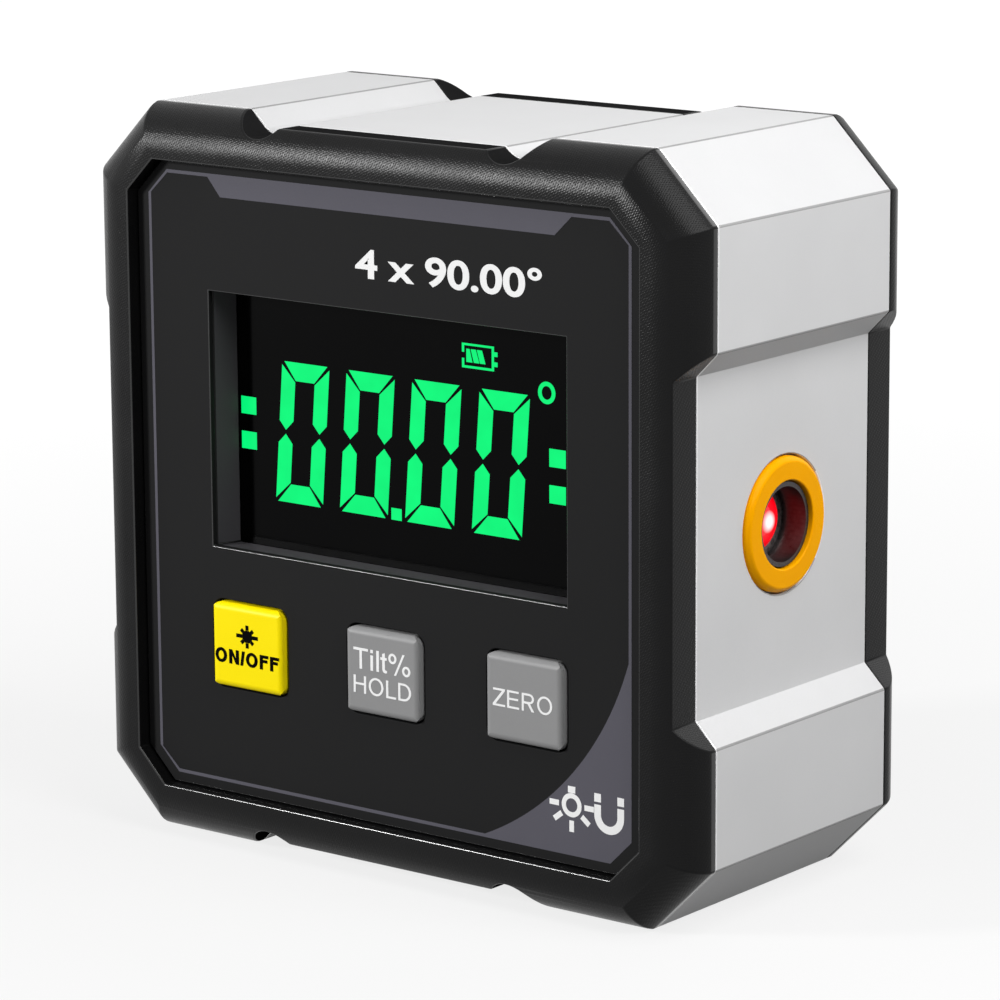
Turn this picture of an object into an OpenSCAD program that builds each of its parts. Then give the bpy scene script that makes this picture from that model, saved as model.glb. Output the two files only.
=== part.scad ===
// Digital angle gauge: a square extruded metal frame between two moulded covers,
// with a display and three keys in front, a laser in each side and cells behind.
// X runs to the right, Y to the back and Z up, from the middle of the base.

/* [Body] */
// Width of the gauge across its two side faces
body_w = 60; // [56:0.5:70]
// Height of the gauge from its base to its top
body_h = 60; // [54:0.5:70]
// Depth of the metal frame between the two covers
frame_d = 23; // [20.6:0.2:28]
// Depth of each cover beyond the frame
cover_d = 3.6; // [3.4:0.1:4.4]
// 45 degree cut across each corner of the outline
corner_cut = 5.4; // [4.6:0.1:6.4]
// Length of the mouth of the recess in each side
recess_mouth = 30.2; // [28:0.2:33]
// Depth of the recess in each side
recess_depth = 1.9; // [1.5:0.1:2.1]
// Width of the raised land in the top and bottom recess
land_w = 20.6; // [16:0.2:22]
// Step from the corner pads down to the raised land
land_drop = 1; // [0.6:0.1:1.3]
// Metal left under a side recess
frame_wall = 1.7; // [1.5:0.1:2.2]
// Metal left across a cut corner
corner_wall = 3.2; // [2.6:0.1:3.6]

/* [Cover edges] */
// How far the rounded edge of a cover draws in
edge_inset = 4; // [3.4:0.1:4.2]
// Straight rim of a cover beside the frame
edge_rim = 0.6; // [0.4:0.05:0.8]
// Bulge of the rounded edge beyond a plain chamfer
edge_bulge = 0.9; // [0.7:0.05:1]
// Length of the lip of a cover inside the frame
lip_d = 2; // [1.4:0.1:2.4]
// Thickness of that lip
lip_wall = 1.4; // [1:0.1:1.8]
// Thickness of the floor of the front cover
floor_t = 1.6; // [1.2:0.1:1.8]
// Thickness of the plate of the rear cover
plate_t = 1.6; // [1.4:0.1:2]

/* [Front panel] */
// Width of the cover left and right of the panel
panel_side = 4.8; // [4.4:0.1:5.4]
// Width of the cover over and under the panel
panel_rim = 4.4; // [4.3:0.1:5.4]
// Cut across each corner of the panel
panel_cut = 2.7; // [2:0.1:3.4]
// Thickness of the panel
panel_t = 0.5; // [0.4:0.05:0.8]
// Depth of the panel's face behind the rim
panel_sunk = 1.1; // [0.9:0.05:1.3]
// Width of the panel left and right of the display window
window_side = 7.35; // [7:0.05:9]
// Height of the panel over the display window
window_head = 10.1; // [9:0.1:12]
// Height of the panel under the display window
window_foot = 20.3; // [20.2:0.1:22]
// Depth of the glass behind the face of the panel
window_d = 2.6; // [2.4:0.1:3]
// Slope of the left and right reveals of the window
reveal_in = 0.8; // [0.4:0.1:1]

/* [Keys] */
// Width of a key
key_w = 7.5; // [6.5:0.1:8]
// Height of a key
key_h = 6.95; // [6:0.05:7.6]
// Radius of the corners of a key
key_r = 0.9; // [0.6:0.1:1.4]
// Rounding of the front edges of a key
key_round = 0.55; // [0.3:0.05:0.8]
// Distance of the middle of the outer keys from the sides of the panel
key_side = 11.2; // [11:0.1:12.6]
// Offset of the row of keys from the middle
key_shift = 0; // [-0.6:0.1:0.6]
// Height of the middle of the keys over the bottom of the panel
key_rise = 12.4; // [11:0.1:12.6]
// Height of a key in front of the panel
key_proud = 0.5; // [0.3:0.05:0.7]
// Travel of a key
key_travel = 0.5; // [0.3:0.05:0.6]
// Gap round a key
key_gap = 0.2; // [0.15:0.05:0.35]

/* [Display and board] */
// How far the display glass reaches past the window left and right
glass_side = 1.85; // [1.6:0.05:1.95]
// How far the display glass reaches past the window over and under it
glass_lap = 2.6; // [2:0.1:2.7]
// Thickness of the display glass
glass_t = 2; // [1.6:0.1:2.4]
// Thickness of the light guide behind the glass
guide_t = 3.2; // [3:0.1:3.6]
// Thickness of the circuit board
board_t = 1.6; // [1:0.1:1.8]
// Gap between the board and the wall of the frame
board_gap = 1.6; // [1.2:0.1:2]
// Width of a key switch
switch_w = 6; // [5.6:0.1:6.4]
// Height of the housing of a key switch over the board
switch_h = 3.4; // [3:0.1:3.5]
// Diameter of the plunger of a key switch
plunger_d = 3.3; // [3:0.1:3.6]

/* [Lasers] */
// Outer diameter of the coloured aperture ring
ring_d = 10.6; // [9.6:0.1:11.4]
// Opening of the aperture ring
ring_bore = 6.9; // [6:0.1:7.2]
// Height of the ring over the floor of the recess
ring_proud = 0.4; // [0.2:0.05:0.8]
// Outer diameter of a laser barrel
barrel_d = 7.6; // [7.4:0.1:8]
// Length of a laser barrel
barrel_l = 11; // [10:0.1:11.6]
// Gap between a laser barrel and the circuit board
barrel_gap = 0.8; // [0.6:0.1:1.4]
// Mouth of a laser barrel, which holds the lens
barrel_mouth = 4.6; // [4.2:0.1:5]
// Depth of the barrel's nose behind the face of the ring
nose_sunk = 0.35; // [0.2:0.05:0.6]
// Wall of the barrel's nose inside the ring
nose_wall = 0.35; // [0.3:0.05:0.5]

/* [Power] */
// Diameter of a cell
cell_d = 10.5; // [10:0.1:10.8]
// Length of a fitted contact spring
spring_l = 4.8; // [4:0.1:5]
// How far the rear cover laps over each end of the cells' tray
door_lap = 1.55; // [1.3:0.05:2]
// Diameter of a base magnet
magnet_d = 8; // [6:0.1:8.6]

/* [Fasteners] */
// Diameter of a cover screw
screw_d = 2.2; // [1.8:0.1:2.4]
// Diameter of the head of a cover screw
screw_head_d = 4.2; // [3.8:0.1:4.4]
// Diameter of a board screw
board_screw_d = 1.8; // [1.4:0.1:2]

/* [Hidden] */
$fn = 64;
// Clearances: between fixed pieces, round the door and where a cut passes a face
fit = 0.15;
slack = 0.05;
door_gap = 0.2;
past = 1;

// Planes along Y, from the front to the back
mid_z = body_h / 2;
front_y = -frame_d / 2 - cover_d;
seam_y = -frame_d / 2;
face_y = front_y + panel_sunk;
seat_y = face_y + panel_t;
floor_y = seat_y + floor_t;
glass_y = face_y + window_d;
guide_y = glass_y + glass_t;
board_y = guide_y + guide_t;
board_back = board_y + board_t;
rear_y = -front_y;
plate_y = rear_y - plate_t;

// The hollow of the frame and the lips that enter it
cavity_w = body_w - 2 * (recess_depth + frame_wall);
cavity_h = body_h - 2 * (recess_depth + frame_wall);
cavity_cut = corner_wall * sqrt(2) - 2 * (recess_depth + frame_wall) + corner_cut;
lip_in = fit + lip_wall;
mouth = recess_mouth / 2;

// Round channels beside the land: each dips below a narrow floor between two slopes
channel_share = 0.6;
channel_dip = channel_share * (recess_depth - land_drop);
channel_floor = recess_depth - channel_dip;
land_foot = land_w / 2 + channel_floor - land_drop;
pad_foot = mouth - channel_floor;
channel_x = (pad_foot + land_foot) / 2;
channel_ledge = 0.05;
channel_half = (pad_foot - land_foot) / 2 - channel_ledge;
channel_r = (channel_half * channel_half + channel_dip * channel_dip) / (2 * channel_dip);

// From the middle to a cut corner, and a length that passes the whole outline
diagonal = (body_w / 2 + body_h / 2 - corner_cut) / sqrt(2);
reach = body_w + body_h;

// Rounded edge of a cover: an arc from the rim to the front
edge_rise = cover_d - edge_rim;
edge_chord = norm([edge_inset, edge_rise]);
edge_r = edge_chord * edge_chord / (8 * edge_bulge) + edge_bulge / 2;

// Panel, window, keys and what lies behind them
panel_w = body_w - 2 * panel_side;
panel_h = body_h - 2 * panel_rim;
window_w = panel_w - 2 * window_side;
window_h = panel_h - window_head - window_foot;
window_rise = (window_foot - window_head) / 2;
window_z = mid_z + window_rise;
glass_w = window_w + 2 * glass_side;
glass_h = window_h + 2 * glass_lap;
window_wall = 1.4;
key_z = mid_z - panel_h / 2 + key_rise;
key_pitch = panel_w / 2 - key_side;
key_flange = 1;
key_flange_t = 1;
key_post_d = 3;
plunger_seat = 1.2;
plunger_rise = key_travel + 0.4;
plunger_bore = plunger_seat + key_travel + fit;
plunger_top = board_y - switch_h - plunger_rise;
strip_t = 1.6;
guide_margin = 1.2;
guide_drop = 3;

// Posts of the front cover and the screws in them
boss_in = 4.9;
boss_x = cavity_w / 2 - boss_in;
boss_z = cavity_h / 2 - boss_in;
boss_d = 5;
boss_foot_d = 6.8;
boss_end = seam_y + frame_d - 1;
tube_d = 6.6;
screw_seat = rear_y - 2.9;
screw_head_h = 1.4;
screw_l = 9.2;
post_x = 10;
post_d = 4.4;
board_screw_head_d = 3.2;
board_screw_head_h = 1.1;
board_screw_l = 4.6;
slot_w = 0.5;

// Laser: its axis behind the board and planes along X on the right, mirrored for the left
laser_y = board_back + barrel_gap + barrel_d / 2;
recess_x = body_w / 2 - recess_depth;
wall_x = cavity_w / 2;
ring_seat = 0.8;
ring_wall = 0.9;
ring_edge = 0.35;
barrel_back = wall_x - barrel_l;
ring_rim = recess_x + ring_proud;
nose_d = ring_bore - 2 * fit;
nose_bore = nose_d - 2 * nose_wall;
mouth_x = wall_x - 0.5;
groove_w = 0.4;
groove_d = nose_bore + 0.4;
lens_seat = 1;
lens_r = 3.4;
aperture_d = 3.4;
diode_d = 4.7;
diode_l = 3;
diode_base_d = 5.6;
diode_base_t = 1.2;
lead_d = 0.45;
lead_l = 2;
holder_l = 7.5;
holder_wall = 1.4;

// Cells in the tray of the rear cover
tray_wall = 1.2;
cell_gap = 0.3;
contact_t = 0.4;
tray_w = 2 * cell_d + 4 * cell_gap;
tray_h = cavity_h - 2 * (fit + tray_wall);
cell_l = tray_h - spring_l - 2 * contact_t;
cell_y = plate_y - cell_gap - 0.1 - cell_d / 2;
tray_y = cell_y - cell_d / 2 - cell_gap;
cell_x = cell_d / 2 + cell_gap;
nub_d = 5.5;
nub_h = 1;
contact_w = 8.6;
contact_y = 8.4;
spring_wire = 0.6;
spring_turns = 4;
spring_foot_r = 3.6;
spring_tip_r = 2.4;

// Door over the cells
door_h = tray_h - 2 * door_lap;
door_ledge = 1;
ledge_y = rear_y - 0.8;
door_z = mid_z - door_h / 2;
tab_w = 2;
tab_t = 1;
tab_l = 1.2;
tab_x = tray_w / 2 - 0.3 - tab_w / 2;
tongue_w = 8;
tongue_l = 8;
tongue_slot = 0.6;
rib_n = 4;
rib_w = 0.6;
rib_pitch = 1.4;
rib_h = 0.4;
notch_r = 7;

// Magnets in the base and the chips on the board
magnet_t = 2.2;
magnet_skin = 1.2;
magnet_x = (mouth + body_w / 2 - corner_cut) / 2;
chip_w = 7;
chip_t = 1.4;
chip_drop = 16;
sensor_w = 4.5;
sensor_t = 1.1;
sensor_rise = 14;

// Helpers

// A flat shape in X and Z about the middle of the gauge, drawn out from y0 to y1
module along_y(y0, y1) {
    translate([0, y1, mid_z]) rotate([90, 0, 0]) linear_extrude(y1 - y0) children();
}

// A round bar along Y from y0 to y1 at a place x, z
module bar_y(d, x, z, y0, y1) {
    translate([x, y1, z]) rotate([90, 0, 0]) cylinder(d = d, h = y1 - y0);
}

// A turned piece on the laser's axis along X: the profile gives radius and x
module turned_x() {
    translate([0, laser_y, mid_z]) rotate([0, 90, 0]) rotate_extrude() children();
}

module at_corners(x, z) {
    for (sx = [-1, 1], sz = [-1, 1]) translate([sx * x, sz * z]) children();
}

module octagon(w, h, cut) {
    polygon([
        [w / 2 - cut, -h / 2], [w / 2, -h / 2 + cut], [w / 2, h / 2 - cut], [w / 2 - cut, h / 2],
        [cut - w / 2, h / 2], [-w / 2, h / 2 - cut], [-w / 2, cut - h / 2], [cut - w / 2, -h / 2]
    ]);
}

module rounded_rect(w, h, r) {
    square([w - 2 * r, h], center = true);
    square([w, h - 2 * r], center = true);
    at_corners(w / 2 - r, h / 2 - r) circle(r);
}

// Recess in a side face, along the v axis of the face
module side_recess() {
    polygon([
        [past, mouth + past], [-recess_depth, mouth - recess_depth],
        [-recess_depth, recess_depth - mouth], [past, -mouth - past]
    ]);
}

// Recess in the top or bottom face, with its raised land between two round channels
module land_recess() {
    polygon([
        [mouth + past, past], [pad_foot, -channel_floor],
        [land_foot, -channel_floor], [land_w / 2, -land_drop],
        [-land_w / 2, -land_drop], [-land_foot, -channel_floor],
        [-pad_foot, -channel_floor], [-mouth - past, past]
    ]);
    for (s = [-1, 1]) translate([s * channel_x, channel_r - recess_depth]) circle(channel_r);
}

// Outline that the frame and both covers share
module gauge_outline() {
    difference() {
        octagon(body_w, body_h, corner_cut);
        for (s = [0, 1]) {
            mirror([s, 0]) translate([body_w / 2, 0]) side_recess();
            mirror([0, s]) translate([0, body_h / 2]) land_recess();
        }
    }
}

// Section of a cover across its width: square at the frame, rounded at the front
module edge_section(half) {
    middle = [half - edge_inset / 2, (edge_rim + cover_d) / 2];
    centre = middle - (edge_r - edge_bulge) / edge_chord * [edge_rise, edge_inset];
    difference() {
        translate([-half, 0]) square([2 * half, cover_d]);
        for (s = [0, 1]) mirror([s, 0]) difference() {
            translate([half - edge_inset, edge_rim]) square([edge_inset + past, edge_rise + past]);
            translate(centre) circle(edge_r);
        }
    }
}

// That section drawn out across the front of the gauge, turned about Y
module edge_sweep(half, turn) {
    translate([0, seam_y, mid_z]) rotate([0, turn, 0]) translate([0, 0, -reach / 2])
        linear_extrude(reach) mirror([0, 1]) edge_section(half);
}

// Outer form of the front cover, with the recesses cut through it
module cover_form() {
    intersection() {
        along_y(front_y, seam_y) gauge_outline();
        edge_sweep(body_w / 2, 0);
        edge_sweep(body_h / 2, 90);
        edge_sweep(diagonal, 45);
        edge_sweep(diagonal, -45);
    }
}

// Outline of the hollow of the frame, drawn in by a margin
module cavity_outline(margin) {
    octagon(cavity_w - 2 * margin, cavity_h - 2 * margin, cavity_cut);
}

module lip() {
    along_y(seam_y - past / 4, seam_y + lip_d) difference() {
        cavity_outline(fit);
        cavity_outline(lip_in);
    }
}

module rear_half() {
    mirror([0, 1, 0]) children();
}

// Frame: one length of extruded metal, bored through both sides for the lasers
module frame() {
    color("silver") difference() {
        along_y(seam_y, -seam_y) difference() {
            gauge_outline();
            cavity_outline(0);
        }
        for (s = [0, 1]) mirror([s, 0, 0]) {
            translate([0, laser_y, mid_z]) rotate([0, 90, 0]) {
                translate([0, 0, wall_x - past])
                    cylinder(d = ring_bore + 2 * ring_wall + 2 * slack, h = body_w);
                translate([0, 0, recess_x - ring_seat]) cylinder(d = ring_d + 2 * fit, h = body_w);
            }
            translate([magnet_x, 0, magnet_skin])
                cylinder(d = magnet_d + 2 * slack, h = magnet_t + past * 2);
        }
    }
}

// Openings
module key_places() {
    for (i = [-1 : 1]) translate([key_shift + i * key_pitch, key_z - mid_z]) children();
}

module window_shape(margin) {
    translate([0, window_rise]) square([window_w + 2 * margin, window_h + 2 * margin], center = true);
}

// Window with sloped left and right reveals down to the glass
module window_cut() {
    slope = reveal_in / (glass_y - seat_y);
    near = window_w / 2 + slope * past;
    far = window_w / 2 - reveal_in - slope * past;
    translate([0, 0, window_z - window_h / 2]) linear_extrude(window_h) polygon([
        [-near, seat_y - past], [near, seat_y - past], [far, glass_y + past], [-far, glass_y + past]
    ]);
}

// Front bezel: moulded cover with the panel pocket, window well and screw posts
module front_bezel() {
    color("dimgray") difference() {
        union() {
            difference() {
                cover_form();
                along_y(floor_y, seam_y + past) cavity_outline(lip_in);
            }
            lip();
            along_y(floor_y - past / 4, glass_y) window_shape(window_wall);
            along_y(floor_y - past / 4, board_y) {
                at_corners(boss_x, boss_z) circle(d = boss_foot_d);
                at_corners(post_x, boss_z) circle(d = post_d);
            }
            along_y(board_y - past / 4, boss_end) at_corners(boss_x, boss_z) circle(d = boss_d);
        }
        along_y(front_y - past, seat_y) octagon(panel_w + 2 * fit, panel_h + 2 * fit, panel_cut);
        window_cut();
        along_y(seat_y - past, floor_y + past) key_places()
            rounded_rect(key_w + 2 * key_gap, key_h + 2 * key_gap, key_r + key_gap);
        along_y(screw_seat - screw_l, boss_end + past)
            at_corners(boss_x, boss_z) circle(d = screw_d + slack);
        along_y(board_back - board_screw_l, board_y + past)
            at_corners(post_x, boss_z) circle(d = board_screw_d + slack);
    }
}

// Front panel: printed sheet in the pocket of the bezel
module front_panel() {
    color("#262626") along_y(face_y, seat_y) difference() {
        octagon(panel_w, panel_h, panel_cut);
        window_shape(0);
        key_places() rounded_rect(key_w + 2 * key_gap, key_h + 2 * key_gap, key_r + key_gap);
    }
}

// Display: glass, light guide and the strip that joins the glass to the board
module lcd_glass() {
    color("#0a0a0a") along_y(glass_y, guide_y)
        translate([0, window_rise]) square([glass_w, glass_h], center = true);
}

module lcd_backlight() {
    color("white") along_y(guide_y, board_y) translate([0, window_rise + guide_drop / 2])
        square([glass_w - 2 * guide_margin, glass_h - guide_drop - guide_margin], center = true);
}

module lcd_connector() {
    color("hotpink") along_y(guide_y, board_y) translate([0, window_rise - glass_h / 2 + strip_t / 2])
        square([glass_w - 4 * guide_margin, strip_t], center = true);
}

// Circuit board, seated on the steps of the screw posts
module main_board() {
    color("darkgreen") along_y(board_y, board_back) difference() {
        cavity_outline(board_gap);
        at_corners(boss_x, boss_z) circle(d = boss_d + 2 * fit);
        at_corners(post_x, boss_z) circle(d = board_screw_d + 2 * fit);
    }
}

module controller_chip() {
    color("#202020") along_y(board_back, board_back + chip_t)
        translate([0, -chip_drop]) square(chip_w, center = true);
}

module tilt_sensor() {
    color("#303030") along_y(board_back, board_back + sensor_t)
        translate([0, sensor_rise]) square(sensor_w, center = true);
}

// Key switches: a housing for each key, bored for its plunger
module key_switches() {
    color("#444444") difference() {
        along_y(board_y - switch_h, board_y) key_places() square(switch_w, center = true);
        along_y(board_y - switch_h - past, board_y - switch_h + plunger_bore)
            key_places() circle(d = plunger_d + 2 * fit);
    }
}

// Key: pillowed cap, flange behind the floor and a post on the switch
module key_section(half, depth) {
    translate([-half, key_round]) square([2 * half, depth - key_round]);
    translate([key_round - half, 0]) square([2 * (half - key_round), depth]);
    for (s = [-1, 1]) translate([s * (half - key_round), key_round]) circle(key_round);
}

module key(i, tint) {
    key_front = face_y - key_proud;
    flange_y = floor_y + slack;
    flange_back = flange_y + key_flange_t;
    key_depth = flange_y - key_front + key_flange_t / 2;
    color(tint) translate([key_shift + i * key_pitch, 0, key_z]) {
        intersection() {
            translate([0, 0, -mid_z]) along_y(key_front, key_front + key_depth)
                rounded_rect(key_w, key_h, key_r);
            translate([0, key_front, -key_h / 2]) linear_extrude(key_h) key_section(key_w / 2, key_depth);
            translate([-key_w / 2, key_front, 0]) rotate([0, 90, 0])
                linear_extrude(key_w) key_section(key_h / 2, key_depth);
        }
        translate([0, 0, -mid_z]) along_y(flange_y, flange_back)
            rounded_rect(key_w + 2 * key_flange, key_h + 2 * key_flange, key_r + key_flange);
        translate([0, 0, -mid_z]) along_y(flange_back - past / 4, plunger_top) circle(d = key_post_d);
    }
}

module power_button() { key(-1, "gold"); }
module hold_button() { key(0, "gray"); }
module zero_button() { key(1, "gray"); }

module plunger(i) {
    color("black") bar_y(plunger_d, key_shift + i * key_pitch, key_z,
        plunger_top, board_y - switch_h + plunger_seat);
}

module power_plunger() { plunger(-1); }
module hold_plunger() { plunger(0); }
module zero_plunger() { plunger(1); }

// Lasers, drawn on the right
module laser_ring() {
    color("orange") turned_x() polygon([
        [ring_bore / 2, wall_x], [ring_bore / 2 + ring_wall, wall_x],
        [ring_bore / 2 + ring_wall, recess_x - ring_seat], [ring_d / 2, recess_x - ring_seat],
        [ring_d / 2, ring_rim - ring_edge], [ring_d / 2 - ring_edge, ring_rim],
        [ring_bore / 2, ring_rim]
    ]);
}

// Barrel: a nose inside the ring, a groove behind it, the lens on its shoulder and the diode at the back
module laser_barrel() {
    nose_x = ring_rim - nose_sunk;
    base = barrel_back + diode_base_t;
    color("lightgray") turned_x() polygon([
        [nose_bore / 2, nose_x], [nose_d / 2, nose_x], [nose_d / 2, wall_x],
        [barrel_d / 2, wall_x], [barrel_d / 2, barrel_back],
        [diode_base_d / 2, barrel_back], [diode_base_d / 2, base], [diode_d / 2, base],
        [diode_d / 2, base + diode_l], [aperture_d / 2, base + diode_l],
        [aperture_d / 2, mouth_x - lens_seat], [barrel_mouth / 2, mouth_x - lens_seat],
        [barrel_mouth / 2, mouth_x], [groove_d / 2, mouth_x],
        [groove_d / 2, mouth_x + groove_w], [nose_bore / 2, mouth_x + groove_w]
    ]);
}

// Lens: seated in the mouth, with its dome standing out of it
module laser_lens() {
    dome_x = mouth_x - sqrt(lens_r * lens_r - barrel_mouth * barrel_mouth / 4);
    color("lightcyan") turned_x() intersection() {
        translate([0, mouth_x - lens_seat]) square([barrel_mouth / 2, lens_seat + lens_r]);
        translate([0, dome_x]) circle(lens_r);
    }
}

module laser_diode() {
    base = barrel_back + diode_base_t;
    color("goldenrod") {
        turned_x() polygon([
            [0, barrel_back], [diode_base_d / 2, barrel_back], [diode_base_d / 2, base],
            [diode_d / 2, base], [diode_d / 2, base + diode_l], [0, base + diode_l]
        ]);
        for (turn = [60 : 120 : 300]) translate([barrel_back - lead_l, laser_y, mid_z]) rotate([turn, 0, 0])
            translate([0, diode_base_d / 4, 0]) rotate([0, 90, 0])
                cylinder(d = lead_d, h = lead_l + past / 4);
    }
}

// Holder: block behind the board that grips the barrel
module laser_holder() {
    half = barrel_d / 2 + holder_wall;
    middle = wall_x - barrel_l / 2;
    color("#555555") difference() {
        translate([middle - holder_l / 2, board_back, mid_z - half])
            cube([holder_l, laser_y + half - board_back, 2 * half]);
        translate([0, laser_y, mid_z]) rotate([0, 90, 0]) cylinder(d = barrel_d, h = body_w);
    }
}

module left_side() { mirror([1, 0, 0]) children(); }

module laser_ring_right() { laser_ring(); }
module laser_ring_left() { left_side() laser_ring(); }
module laser_barrel_right() { laser_barrel(); }
module laser_barrel_left() { left_side() laser_barrel(); }
module laser_lens_right() { laser_lens(); }
module laser_lens_left() { left_side() laser_lens(); }
module laser_diode_right() { laser_diode(); }
module laser_diode_left() { left_side() laser_diode(); }
module laser_holder_right() { laser_holder(); }
module laser_holder_left() { left_side() laser_holder(); }

module base_magnets() {
    color("gray") for (s = [-1, 1])
        translate([s * magnet_x, 0, magnet_skin]) cylinder(d = magnet_d, h = magnet_t);
}

// Rear cover: the same outer form, with the tray for the cells
module door_shape(ledge, gap, y0, y1) {
    along_y(y0, y1) square([tray_w + 2 * (ledge - gap), door_h - 2 * gap], center = true);
}

module rear_cover() {
    color("dimgray") difference() {
        union() {
            rear_half() difference() {
                cover_form();
                along_y(front_y + plate_t, seam_y + past) cavity_outline(lip_in);
            }
            rear_half() lip();
            along_y(tray_y - tray_wall, plate_y + past / 4)
                square([tray_w + 2 * tray_wall, tray_h + 2 * tray_wall], center = true);
            along_y(boss_end + fit, plate_y + past / 4) at_corners(boss_x, boss_z) circle(d = tube_d);
        }
        along_y(tray_y, plate_y) square([tray_w, tray_h], center = true);
        door_shape(0, 0, plate_y - past, rear_y + past);
        door_shape(door_ledge, 0, ledge_y, rear_y + past);
        along_y(screw_seat, rear_y + past) at_corners(boss_x, boss_z) circle(d = screw_head_d + 2 * fit);
        along_y(boss_end - past, screw_seat + past) at_corners(boss_x, boss_z) circle(d = screw_d + 2 * fit);
        finger_notch();
    }
}

// Dished notch above the tongue of the door
module finger_notch() {
    translate([0, rear_y + notch_r - rib_h * 2, mid_z + door_h / 2]) sphere(notch_r);
}

// Door: plate with two tabs at the bottom and a ribbed tongue at the top
module battery_door() {
    top = mid_z + door_h / 2 - door_gap;
    color("dimgray") difference() {
        union() {
            door_shape(0, door_gap, plate_y, rear_y);
            door_shape(door_ledge, door_gap, ledge_y + slack, rear_y);
            for (s = [-1, 1]) translate([s * tab_x - tab_w / 2, 0, 0]) {
                translate([0, plate_y - slack - tab_t, door_z - tab_l])
                    cube([tab_w, tab_t, tab_l + tab_t * 2]);
                translate([0, plate_y - past / 4, door_z + door_gap])
                    cube([tab_w, past / 2, tab_t * 2 - door_gap]);
            }
        }
        for (s = [-1, 1]) translate([s * tongue_w / 2 - tongue_slot / 2, plate_y - past, top - tongue_l])
            cube([tongue_slot, plate_t + 2 * past, tongue_l + past]);
        for (i = [0 : rib_n - 1]) translate([-tongue_w / 2, rear_y - rib_h, top - 2 * rib_w - i * rib_pitch])
            cube([tongue_w, rib_h + past, rib_w]);
    }
}

// Cells: the right one with its nub up, the left one with its nub down
module cell() {
    color("steelblue") translate([cell_x, cell_y, mid_z - tray_h / 2 + contact_t + spring_l]) {
        cylinder(d = cell_d, h = cell_l - nub_h);
        cylinder(d = nub_d, h = cell_l);
    }
}

// The left half of the tray is the right half turned end for end
module turned_over() {
    translate([0, 0, mid_z]) rotate([0, 180, 0]) translate([0, 0, -mid_z]) children();
}

module battery_cell_right() { cell(); }
module battery_cell_left() { turned_over() cell(); }

// Conical contact spring: a round wire swept along a coil
function coil_point(t) =
    let (turn = 360 * spring_turns * t, r = spring_foot_r + (spring_tip_r - spring_foot_r) * t)
    [r * cos(turn), r * sin(turn), spring_wire / 2 + slack + (spring_l - spring_wire - 2 * slack) * t];

module contact_spring() {
    steps = 14 * spring_turns;
    sides = 6;
    rings = [for (k = [0 : steps], j = [0 : sides - 1])
        let (p = coil_point(k / steps), a = 360 * spring_turns * k / steps, b = 360 * j / sides)
        p + spring_wire / 2 * (cos(b) * [cos(a), sin(a), 0] + sin(b) * [0, 0, 1])];
    walls = [for (k = [0 : steps - 1], j = [0 : sides - 1])
        let (n = (j + 1) % sides)
        [k * sides + j, k * sides + n, (k + 1) * sides + n, (k + 1) * sides + j]];
    ends = [
        [for (j = [0 : sides - 1]) sides - 1 - j],
        [for (j = [0 : sides - 1]) steps * sides + j]
    ];
    polyhedron(rings, concat(walls, ends));
}

module battery_springs() {
    color("lightgray") for (s = [0, 1]) rotate_half(s)
        translate([cell_x, cell_y, mid_z - tray_h / 2 + contact_t]) contact_spring();
}

module rotate_half(s) {
    if (s == 0) children();
    else turned_over() children();
}

// Contacts: one plate across the top, one under each cell
module battery_contacts() {
    color("lightgray") {
        for (s = [-1, 1]) translate([s * cell_x - contact_w / 2, cell_y - contact_y / 2, mid_z - tray_h / 2])
            cube([contact_w, contact_y, contact_t]);
        translate([-cell_x - contact_w / 2, cell_y - contact_y / 2, mid_z + tray_h / 2 - contact_t])
            cube([2 * cell_x + contact_w, contact_y, contact_t]);
    }
}

// Screws, each with a cross in its head
module screw(d, l, head_d, head_h) {
    difference() {
        union() {
            translate([0, -l, 0]) bar_y(d, 0, 0, 0, l);
            bar_y(head_d, 0, 0, 0, head_h);
        }
        for (turn = [0, 90]) rotate([0, turn, 0])
            translate([-head_d / 3, head_h / 2, -slot_w / 2]) cube([head_d * 2 / 3, head_h, slot_w]);
    }
}

module cover_screws() {
    color("black") for (sx = [-1, 1], sz = [-1, 1])
        translate([sx * boss_x, screw_seat, mid_z + sz * boss_z])
            screw(screw_d, screw_l, screw_head_d, screw_head_h);
}

module board_screws() {
    color("lightgray") for (sx = [-1, 1], sz = [-1, 1])
        translate([sx * post_x, board_back, mid_z + sz * boss_z])
            screw(board_screw_d, board_screw_l, board_screw_head_d, board_screw_head_h);
}

frame();
front_bezel();
front_panel();
lcd_glass();
lcd_backlight();
lcd_connector();
main_board();
controller_chip();
tilt_sensor();
key_switches();
power_button();
hold_button();
zero_button();
power_plunger();
hold_plunger();
zero_plunger();
laser_ring_right();
laser_ring_left();
laser_barrel_right();
laser_barrel_left();
laser_lens_right();
laser_lens_left();
laser_diode_right();
laser_diode_left();
laser_holder_right();
laser_holder_left();
base_magnets();
rear_cover();
battery_door();
battery_cell_right();
battery_cell_left();
battery_springs();
battery_contacts();
cover_screws();
board_screws();
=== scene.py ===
"""Looks of a digital angle gauge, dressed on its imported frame.

Lengths in the tables are in millimetres; X runs right, Y to the back and Z up.
"""

import math

import bmesh
import bpy
from mathutils import Matrix, Vector


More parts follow.
